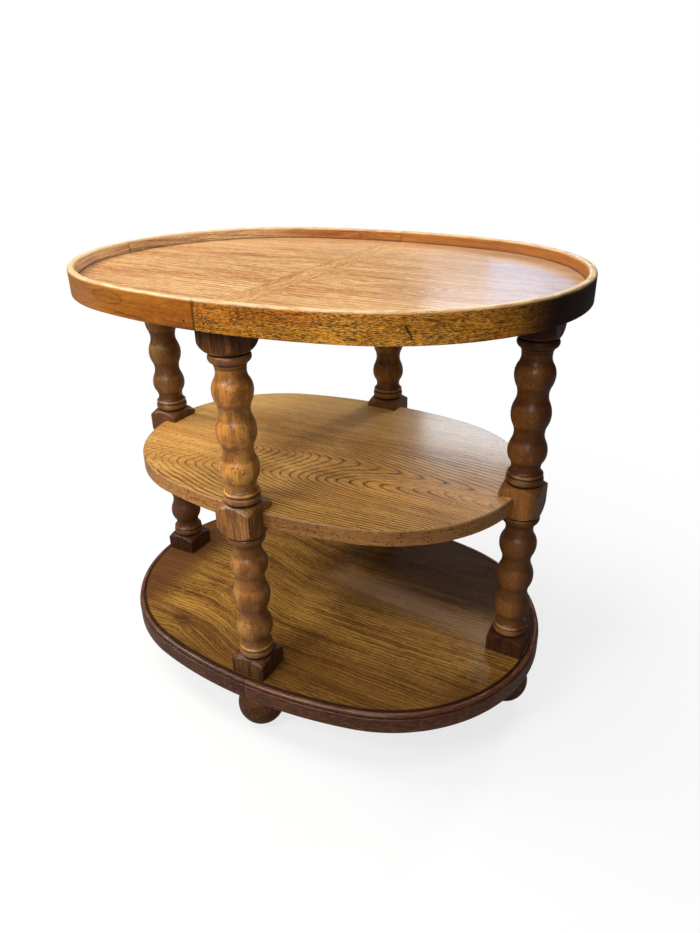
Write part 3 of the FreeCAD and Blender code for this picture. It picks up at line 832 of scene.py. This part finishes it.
def post_look(seed, pith, tone=1.0, block=None, lower=None, shade=None):
    """Upright grain with rings round a far pith. A post has darker blocks at top and foot, darker
    collars and rings, stain of its own on its middle block and a colour below it, each as
    (amount, colour), and painted shade, as (start, end, amount) along X, that darkens its right side."""
    def build(g):
        place = object_mm(g)
        x, y, z = place.axes()
        glaze = g.attribute("glaze", "Fac")
        slow = wobble(g, g.stretch(place, 1.0, 1.0, 0.12), 0.03, 5.0, seed)
        dx, dy = x - pith[0], y - pith[1]
        distance = (dx * dx + dy * dy) ** 0.5 + slow + z * 0.03
        patch = g.noise(g.stretch(g.shift(place, seed * 31.0, 0.0, 0.0), 1.0, 1.0, 0.45), 0.045, 3.0, 0.6)
        near_hollow = (glaze + (patch - 0.5) * 0.5).ease(-0.1, 0.16)
        masks = [(patch.ease(0.46, 0.62) * 0.62, (0.17, 0.058, 0.018)),
                 ((-glaze).most(0.0) * patch.ease(0.62, 0.42) * 0.6, (0.8, 0.44, 0.15)),
                 (near_hollow * 0.4, toned((0.16, 0.06, 0.019), tone)),
                 (glaze.most(0.0).least(1.0) * 0.92, (0.022, 0.007, 0.004))]
        if block:
            high_rings = z.near(UPPER_GROOVE - 6.0, 6.5, 5.0) + z.near(LOWER_GROOVE - 6.0, 6.5, 5.0)
            low_rings = z.near(MID_TOP + 7.0, 8.0, 6.5) + z.near(BASE_TOP + 7.0, 8.0, 6.5)
            grainy = g.marks(place, (0.42, 0.42, 0.022), 3.0, 0.6).ease(0.42, 0.6)
            levels = (UPPER_GROOVE, MID_TOP, LOWER_GROOVE, BASE_TOP)
            creases = sum(z.near(z0 + up, 1.5, 0.7) for z0, up in zip(levels, (-0.2, 0.6, -0.2, 0.6)))
            fillets = sum(z.near(z0 + up, 1.3, 0.5) for z0, up in zip(levels, (-11.3, 11.4, -11.3, 11.4)))
            middle = z.near(MID_SURFACE - 10.0, 25.0, 23.5) * (1.15 - grainy * 0.5)
            below = z.ease(LOWER_GROOVE - 1.0, LOWER_GROOVE - 4.0)
            at_foot = z.ease(BASE_TOP + 2.5, BASE_TOP - 1.5) * (0.96 - grainy * 0.24)
            at_top = z.ease(UPPER_GROOVE - 0.5, UPPER_GROOVE + 3.5) * (0.94 - grainy * 0.22)
            masks += [(low_rings * (0.6 if tone > 0.5 else 0.12), toned((0.17, 0.06, 0.026), tone)),
                      (high_rings * 0.78, toned((0.15, 0.05, 0.022), tone)),
                      (middle * block[0], block[1]), (below * lower[0], lower[1]),
                      (at_foot, (0.04, 0.012, 0.007)), (at_top, (0.048, 0.013, 0.006)),
                      (creases * 0.9 + fillets * 0.7, (0.008, 0.003, 0.002)),
                      # Painted shade: the right-hand side of the post is painted darker
                      (x.ease(shade[0], shade[1]) * shade[2] * (patch * 0.6 + 0.7), (0.06, 0.018, 0.009))]
        return g.vector(z + seed * 53.0, x, y), distance / 3.4, 1.0, masks
    return build


def turned(node, profile, material, side, half_width, columns, seed):
    """Turns a profile about the middle of a post."""
    dress(node, TURNING, {
        "Profile": profile, "Columns": columns, "Half Width": half_width, "Edge Ease": 1.6,
        "Crease Ease": 0.25, "Centre X": side[0] * POST_REACH_LONG, "Centre Y": side[1] * POST_REACH_SHORT,
        "Unevenness": 0.5, "Seed": seed, "Material": material}, sharp=30.0)


# Stains and painted shade of each post: the tone of each colour channel (darker away from the front, partly
# painted shade),
# # the coat, the stain of the middle block, the colour below it, and how much painted shade darkens the
# right side
DARK, GOLD = (0.165, 0.064, 0.018), (0.42, 0.19, 0.045)
POST_STAINS_AND_SHADE = {
    "front": ((1.0, 1.0, 1.0), 0.7, (0.8, DARK), (0.54, DARK), 0.22),
    "right": ((0.245, 0.168, 0.115), 0.4, (0.5, (0.44, 0.18, 0.04)), (0.15, GOLD), 0.78),
    "back": ((0.45, 0.45, 0.45), 0.5, (0.4, DARK), (0.3, DARK), 0.3),
    "left": ((0.3, 0.275, 0.32), 0.5, (0.6, (0.13, 0.046, 0.018)), (0.75, (0.095, 0.034, 0.015)), 0.45),
}


def posts():
    profile = post_profile()
    for number, (name, side) in enumerate(POSTS.items()):
        tones, coat, block, lower, right_side_shade = POST_STAINS_AND_SHADE[name]
        x, y = side[0] * POST_REACH_LONG, side[1] * POST_REACH_SHORT
        turn = number * 1.9 + 0.7
        pith = (x + 48.0 * math.cos(turn), y + 48.0 * math.sin(turn))
        look = post_look(number * 3.7 + 1.0, pith, tones[0], block, lower, (x + 5.0, x + 25.0, right_side_shade))
        material = oak_surface(
            "oak post " + name, look,
            pale=toned((1.0, 0.52, 0.115), tones), warm=toned((0.68, 0.275, 0.047), tones),
            line=(0.13, 0.045, 0.014), ring_line=0.1, pores=0.35, streaks=0.55, specks=1.0, cloud=0.5,
            speck_size=0.78, spots=0.44, coat=coat, coat_gloss=0.31)
        turned("post_" + name, profile, material, side, BLOCK_HALF, 97, number * 11.3)


def foot_profile():
    low, height, ball, flat, neck = 1.2, 76.5, 32.6, 9.5, 16.0
    cap, cap_height, cap_round = 23.0, 6.0, 2.0
    centre = low + math.sqrt(ball ** 2 - flat ** 2)
    neck_low = centre + math.sqrt(ball ** 2 - neck ** 2)
    cap_low = height - cap_height
    path = [
        (0.0, low),
        (flat, low),
        ((ball, centre), (neck, neck_low)),
        (neck, cap_low),
        (cap - cap_round, cap_low),
        ((cap, cap_low + cap_height / 2), (cap - cap_round, height)),
        (0.0, height),
    ]
    return glazed_profile("foot profile", path, 1.3)


def feet():
    profile = foot_profile()
    never_square = 1000.0
    for number, (name, side) in enumerate(POSTS.items()):
        pith = (side[0] * POST_REACH_LONG + 30.0, side[1] * POST_REACH_SHORT - 55.0)
        material = oak_surface(
            "oak foot " + name, post_look(number * 5.1 + 2.0, pith),
            pale=(0.08, 0.013, 0.006), warm=(0.048, 0.008, 0.0035), line=(0.02, 0.006, 0.003),
            pores=0.35, ring_line=0.4, specks=0.4, cloud=0.5, gloss=0.34, coat=0.35)
        turned("ball_foot_" + name, profile, material, side, never_square, 73, number * 7.7)


# Flat veneers

def with_masks(build, masks=lambda g: []):
    """Adds the masks that masks(g) gives to a build that has none."""
    def whole(g):
        return build(g) + (masks(g),)
    return whole


def seam_and_glare_masks(g):
    """Dark glue lines beside the strips of the top, painted glare on its back and right-hand back, and
    stain caught along the foot of the rim.
    """
    x, y, _ = object_mm(g).axes()
    rim_foot = TOP_OVERHANG - RIM_THICKNESS
    beside_long = y.size().near(STRIP_HALF, 1.0, 0.25)
    beside_cross = x.size().near(STRIP_HALF, 1.0, 0.25)
    return [(beside_long * 0.3, OAK["line"]), (beside_cross * 0.5, OAK["line"]),
            # Painted glare: paler towards the back, and greyer towards the right-hand back, where the
            # window glare lies
            (y.ease(20.0, 180.0) * 0.15, (1.0, 0.72, 0.44)),
            ((x + y * 0.3).ease(60.0, 230.0) * 0.48, (0.41, 0.26, 0.155)),
            (beyond_posts(x, y).ease(rim_foot - 2.4, rim_foot - 0.4) * 0.75, (0.13, 0.045, 0.035))]


def paint(material, *nodes):
    """Gives CAD nodes one material in place of their own."""
    for node in nodes:
        slots = frame["nodes"][node].data.materials
        slots.clear()
        slots.append(material)


TOP_TONES = dict(pale=(0.87, 0.54, 0.238), warm=(0.58, 0.247, 0.073), line=(0.32, 0.11, 0.032),
                 pore=(0.19, 0.062, 0.018), ring_line=0.6, pores=0.8, streaks=1.0, cloud=0.3,
                 fleck=(1.0, 0.78, 0.42), flecks=0.7, coat=0.5, coat_gloss=0.2)


def top_veneers():
    for number, (name, side) in enumerate(QUARTERS.items()):
        arches = ((63.0, -54.0, 8.0), (176.0, -52.0, 9.0)) if name == "front_right" else ()
        build = board_rings(9.0, drift=9.0, seed=number * 2.3 + 1.0, lean=0.05 * side[0] * side[1],
                            arches=arches)
        leaf = oak_surface("oak top leaf " + name, with_masks(build, seam_and_glare_masks), **TOP_TONES)
        paint(leaf, "top_leaf_" + name)
    strip = with_masks(board_rings(7.0, drift=3.0, seed=9.0), seam_and_glare_masks)
    paint(oak_surface("oak top long strip", strip, **TOP_TONES), "top_long_strip")
    for number, name in enumerate(("front", "back")):
        def build(g, seed=12.0 + number * 3.0):
            place = object_mm(g)
            x, y, z = place.axes()
            across = x + wobble(g, g.stretch(place, 1.0, 0.3, 1.0), 0.05, 1.5, seed)
            return g.vector(y + seed * 41.0, across, z), across / 7.5, 1.0
        tones = dict(TOP_TONES, pale=(0.84, 0.505, 0.207), warm=(0.61, 0.27, 0.078))
        strip = oak_surface("oak top cross strip " + name, with_masks(build, seam_and_glare_masks), **tones)
        paint(strip, "top_cross_strip_" + name)


def mid_shelf_figure(g):
    """Interlocking loops. The ring count has a row of loops that point right and a row below it
    that point left, and beyond both rows the lines run straight along the shelf."""
    place = object_mm(g)
    slow = g.stretch(place, 0.6, 1.0, 1.0)
    x, y, z = place.axes()
    x = x + wobble(g, place, 0.018, 9.0, 8.0) + wobble(g, place, 0.08, 1.0, 1.0)
    x = x + wobble(g, g.stretch(place, 0.3, 1.0, 1.0), 0.1, 11.0, 4.0) * x.ease(-130.0, -190.0)
    y = y + wobble(g, slow, 0.012, 7.0, 3.0) * x.ease(-210.0, -40.0) + wobble(g, slow, 0.06, 0.9, 5.0)
    upper_row = (x * 0.13 - 34.0).least(-27.0)
    lower_row = (x * 0.2 - 92.0).least(-50.0)
    above = (y - upper_row).most(0.0)
    below = (lower_row - y).most(0.0)
    upper = (x - 6.0).least(0.0) / 12.4 + ((x - 6.0).most(0.0) / 13.75) ** 0.75
    lower = (x + 17.0).least(77.0) / 12.75 + (x - 60.0).most(0.0) / 20.0
    side = y.ease(lower_row, upper_row)
    far = (above + below).ease(0.0, 140.0)
    calm = lower * 0.5 + (3.5 - lower * 0.5) * side
    climb = (lower + (upper - lower) * side) * (1.0 - far) + far * calm
    rings = climb + ((above * above + 200.0) ** 0.5 - (below * below + 200.0) ** 0.5) / 5.8
    back = y.ease(15.0, 95.0)
    left = x.ease(-95.0, -140.0)
    quiet = left * y.ease(-100.0, -84.0)
    strength = 1.0 - back * 0.65 - quiet * 0.6 * (1.0 - back)
    # Painted light: paler towards the back. Painted shade: darker towards the front, under the top.
    masks = [(y.ease(30.0, 130.0) * 0.35, (1.0, 0.66, 0.28)),
             ((-y).ease(60.0, 170.0) * 0.25, (0.3, 0.14, 0.03))]
    return g.vector(x, y, z), rings, strength, masks, 1.0 - far.ease(0.5, 0.0) * (left * 0.15 + 0.5)


def bottom_shelf_figure(g):
    """Close straight grain with uneven dark bands, parted by two knots, with painted shade under the middle
    shelf, at the front and at the left-hand end, and a pale streak of painted reflection.
    """
    place = object_mm(g)
    x, y, z = place.axes()
    across = y + x.ease(-165.0, -15.0) * 36.0
    across = across + wobble(g, g.stretch(place, 0.35, 1.0, 1.0), 0.012, 11.0, 2.0)
    across = across + wobble(g, g.stretch(place, 0.5, 1.0, 1.0), 0.06, 2.6, 6.0)
    masks = []
    for knot_x, knot_y, reach in ((-159.0, -172.0, 20.0), (-160.0, -72.0, 26.0)):
        dx, dy = (x - knot_x) / (reach * 1.7), (y - knot_y) / reach
        closeness = 1.0 / (dx * dx + dy * dy + 0.3)
        across = across + dy * closeness * (reach * 0.45)
        smudge = closeness.ease(0.6, 2.6) * g.marks(place, (0.04, 0.12, 0.12), 3.0).ease(0.35, 0.6)
        masks.append((smudge * (0.95 if knot_y < -100.0 else 0.55), (0.1, 0.034, 0.016)))
    grain = g.vector(x, across, z)
    bands = g.marks(grain, (0.0035, 0.075, 0.075), 3.0, 0.6)
    to_right = x.ease(-60.0, 50.0)
    slant = y + x * 0.13
    quirk = MOULDING_OVERHANG - MOULDING_WIDTH
    masks += [
        (bands.ease(0.53, 0.62) * 0.55, (0.085, 0.032, 0.01)),
        # Painted shade under the middle shelf: darker towards the right-hand back
        (y.ease(-60.0, 0.0) * to_right * 0.5, (0.04, 0.014, 0.005)),
        (slant.ease(55.0, 100.0) * to_right * 0.75, (0.03, 0.01, 0.004)),
        # Painted reflection: a pale streak across the right-hand side
        (slant.near(38.0, 38.0, 6.0) * to_right * 0.42, (0.36, 0.22, 0.13)),
        # Painted shade: darker towards the front
        ((-y + x * 0.2).ease(70.0, 200.0) * 0.62, (0.085, 0.034, 0.008)),
        # Painted shadow of the left post at the left-hand end
        ((-x).ease(203.0, 255.0) * y.ease(-185.0, -145.0) * 0.8, (0.1, 0.038, 0.014)),
        (beyond_posts(x, y).ease(quirk - 3.0, quirk - 0.6) * 0.8, (0.022, 0.009, 0.005))]
    lit = g.marks(grain, (0.005, 0.03, 0.03), 2.0).ease(0.35, 0.6)
    return grain, across / 5.8, lit * 0.5 + 0.5, masks


def plain_boards():
    paint(oak_surface(
        "oak middle shelf", mid_shelf_figure, pale=(0.94, 0.522, 0.14), warm=(0.65, 0.315, 0.072),
        line=(0.065, 0.022, 0.009), pore=(0.08, 0.027, 0.008), ring_line=1.0, ring_width=0.4, pores=0.7,
        cloud=0.3, specks=0.6, fleck=(0.95, 0.62, 0.2), flecks=0.3, coat=0.8, coat_gloss=0.175,
        ragged=0.15), "mid_shelf_face_veneer")
    paint(oak_surface(
        "oak bottom shelf", bottom_shelf_figure, pale=(0.52, 0.262, 0.05), warm=(0.28, 0.12, 0.022),
        line=(0.05, 0.018, 0.007), pore=(0.035, 0.012, 0.005), ring_line=1.0, ring_width=0.3, pores=0.8,
        cloud=0.45, specks=0.6, fleck=(0.8, 0.5, 0.13), flecks=0.35, coat=0.12, coat_gloss=0.15,
        shine=0.04, ragged=0.5), "bottom_shelf_face_veneer")
    for number, panel in enumerate(("top", "mid_shelf", "bottom_shelf")):
        boards = with_masks(board_rings(11.0, seed=20.0 + number * 4.0))
        backing = oak_surface("oak backing " + str(number + 1), boards, pale=(0.24, 0.125, 0.05),
                              warm=(0.17, 0.082, 0.032), coat=0.1, gloss=0.55)
        paint(backing, panel + "_backing_veneer")


def hidden_parts():
    """Chipboard cores, beech dowels and steel pins."""
    chip, g = new_material("chipboard core")
    _, shade, _ = g.cells(object_mm(g), (0.22, 0.35, 0.9))
    colour = g.mix(shade, (0.62, 0.47, 0.29), (0.4, 0.27, 0.15))
    x, y, z = object_mm(g).axes()
    quirk = MOULDING_OVERHANG - MOULDING_WIDTH
    in_quirk = beyond_posts(x, y).ease(quirk - 1.5, quirk - 0.5) * z.below(BOTTOM_SURFACE)
    colour = g.mix(in_quirk, colour, GLAZE)
    shader = g.node("ShaderNodeBsdfPrincipled", {}, {"Base Color": colour, "Roughness": 0.8})
    g.surface(shader)
    paint(chip, "top_core", "mid_shelf_core", "bottom_shelf_core")
    beech = oak_surface("beech dowel", with_masks(board_rings(2.5, seed=31.0)),
                        pale=(0.72, 0.55, 0.36), warm=(0.6, 0.42, 0.25), line=(0.5, 0.33, 0.2),
                        pore=(0.35, 0.22, 0.12), coat=0.0, gloss=0.6)
    paint(beech, "top_dowels", "mid_shelf_dowels")
    steel, g = new_material("zinc coated steel")
    patch = g.noise(object_mm(g), 0.8, 3.0)
    shader = g.node("ShaderNodeBsdfPrincipled", {}, {
        "Base Color": g.mix(patch, (0.62, 0.62, 0.63), (0.45, 0.45, 0.46)),
        "Metallic": 1.0, "Roughness": patch * 0.3 + 0.25})
    g.surface(shader)
    paint(steel, "foot_glides", "foot_bolts", "rim_brads", "moulding_brads")


# Studio

CAMERA_AZIMUTH, CAMERA_ELEVATION, CAMERA_ROLL = 29.238, 26.186, -1.092
CAMERA_DISTANCE, CAMERA_ASIDE, CAMERA_HEIGHT = 1.0445, 0.0329, 0.311
CAMERA_LENS = 27.541


def camera():
    az, el, roll = (math.radians(a) for a in (CAMERA_AZIMUTH, CAMERA_ELEVATION, CAMERA_ROLL))
    level = Matrix.Rotation(az, 3, "Z")
    turn = level @ Matrix.Rotation(math.pi / 2 - el, 3, "X") @ Matrix.Rotation(roll, 3, "Z")
    back = turn.col[2]
    place = back * CAMERA_DISTANCE + level.col[0] * CAMERA_ASIDE
    place.z += CAMERA_HEIGHT
    lens = bpy.data.cameras.new("camera")
    lens.sensor_width = 36.0
    lens.lens = CAMERA_LENS
    lens.clip_start, lens.clip_end = 0.05, 50.0
    view = add_object("camera", lens)
    view.matrix_world = Matrix.Translation(place) @ turn.to_4x4()
    bpy.context.scene.camera = view


def area_light(name, place, aim, width, height, power, colour):
    """A light with a rectangular face, at a place and turned towards an aim."""
    light = bpy.data.lights.new(name, "AREA")
    light.shape = "RECTANGLE"
    light.size, light.size_y = width, height
    light.energy = power
    light.color = colour
    lamp = add_object(name, light)
    away = Vector(place) - Vector(aim)
    lamp.matrix_world = Matrix.Translation(place) @ away.to_track_quat("Z", "Y").to_matrix().to_4x4()
    return lamp


def lamp(name, azimuth, elevation, size, level, colour=(1.0, 1.0, 1.0)):
    """A square lamp 2.6 m from the middle of the table. Level 1 shows a white face as white."""
    middle = (0.0, 0.0, 0.35)
    reach = 2.6
    az, el = math.radians(azimuth), math.radians(elevation)
    place = (reach * math.cos(el) * math.cos(az), reach * math.cos(el) * math.sin(az),
             middle[2] + reach * math.sin(el))
    return area_light(name, place, middle, size, size, level * (math.pi * reach) ** 2, colour)


def seen_apart(g, light, seen):
    """One shader for the rays that carry light and another for the camera's own rays."""
    by_camera = g.node("ShaderNodeLightPath", {}, {}, "Is Camera Ray")
    return g.node("ShaderNodeMixShader", {}, {0: by_camera, 1: light, 2: seen})


def world():
    """Dim room light, darker low down and to the right. The camera sees it white."""
    scene_world = bpy.data.worlds.new("studio")
    scene_world.use_nodes = True
    bpy.context.scene.world = scene_world
    g = Graph(scene_world.node_tree)
    x, _, z = g.node("ShaderNodeTexCoord", {}, {}, "Generated").axes()
    light = 0.014 + z.ease(0.1, 1.0) * 0.1 + (-x).ease(-0.2, 1.0) * 0.08
    room = g.node("ShaderNodeBackground", {}, {"Color": (1.0, 0.98, 0.96, 1.0), "Strength": light})
    white = g.node("ShaderNodeBackground", {}, {"Color": (1.0, 1.0, 1.0, 1.0), "Strength": 1.0})
    g.node("ShaderNodeOutputWorld", {}, {"Surface": seen_apart(g, room, white)})


def floor():
    """Pale floor that keeps the shadow for the camera and throws little light back up."""
    mesh = bpy.data.meshes.new("floor")
    mesh.from_pydata([(-6, -6, 0), (6, -6, 0), (6, 6, 0), (-6, 6, 0)], [], [(0, 1, 2, 3)])
    ground = add_object("floor", mesh)
    material, g = new_material("pale floor")
    shaded = g.node("ShaderNodeBsdfDiffuse", {}, {"Color": (0.86, 0.86, 0.86, 1.0)})
    white = g.node("ShaderNodeEmission", {}, {"Color": (1.0, 1.0, 1.0, 1.0), "Strength": 1.0})
    dull = g.node("ShaderNodeBsdfDiffuse", {}, {"Color": (0.22, 0.21, 0.2, 1.0)})
    x, y, _ = g.node("ShaderNodeTexCoord", {}, {}, "Object").axes()
    away = (x * x + y * y) ** 0.5
    pale = g.node("ShaderNodeMixShader", {}, {0: 0.75 + away.ease(0.35, 1.1) * 0.25, 1: shaded, 2: white})
    g.surface(seen_apart(g, dull, pale))
    mesh.materials.append(material)


def studio():
    camera()
    world()
    floor()
    lamp("left window", -170.0, 44.0, 1.0, 0.54, (1.0, 0.97, 0.93))
    lamp("front window", -110.0, 40.0, 1.0, 0.5, (1.0, 0.97, 0.93))
    lamp("front fill", -70.0, 28.0, 0.8, 0.28, (1.0, 0.98, 0.95))
    lamp("ceiling light", -120.0, 75.0, 1.0, 0.36)
    lamp("back window", 79.0, 28.0, 0.45, 0.33).visible_glossy = False
    lamp("right back fill", 60.0, 40.0, 1.0, 0.04).visible_glossy = False
    area_light("low window", (-0.37, 2.5, 1.1), (-0.37, 0.0, 1.1), 0.44, 0.24, 1.25, (0.04, 0.42, 1.0))
    area_light("middle of the low window", (-0.38, 2.5, 1.11), (-0.38, 0.0, 1.11),
               0.26, 0.12, 0.6, (0.22, 0.52, 1.0))
    area_light("high window", (-0.6, 2.5, 1.41), (-0.6, 0.0, 1.2), 0.6, 0.14, 3.5, (0.8, 0.88, 1.0))
    area_light("top of the window", (-0.46, 2.5, 2.38), (-0.4, 0.0, 0.1), 0.14, 0.6, 2.4, (1.0, 0.92, 0.8))
    bpy.context.scene.view_settings.view_transform = "Standard"


rim_bands()
edge_bands()
mouldings()
posts()
feet()
top_veneers()
plain_boards()
hidden_parts()
studio()
for holder in [o for o in bpy.data.objects if o.name.endswith(" profile")]:
    bpy.data.objects.remove(holder)
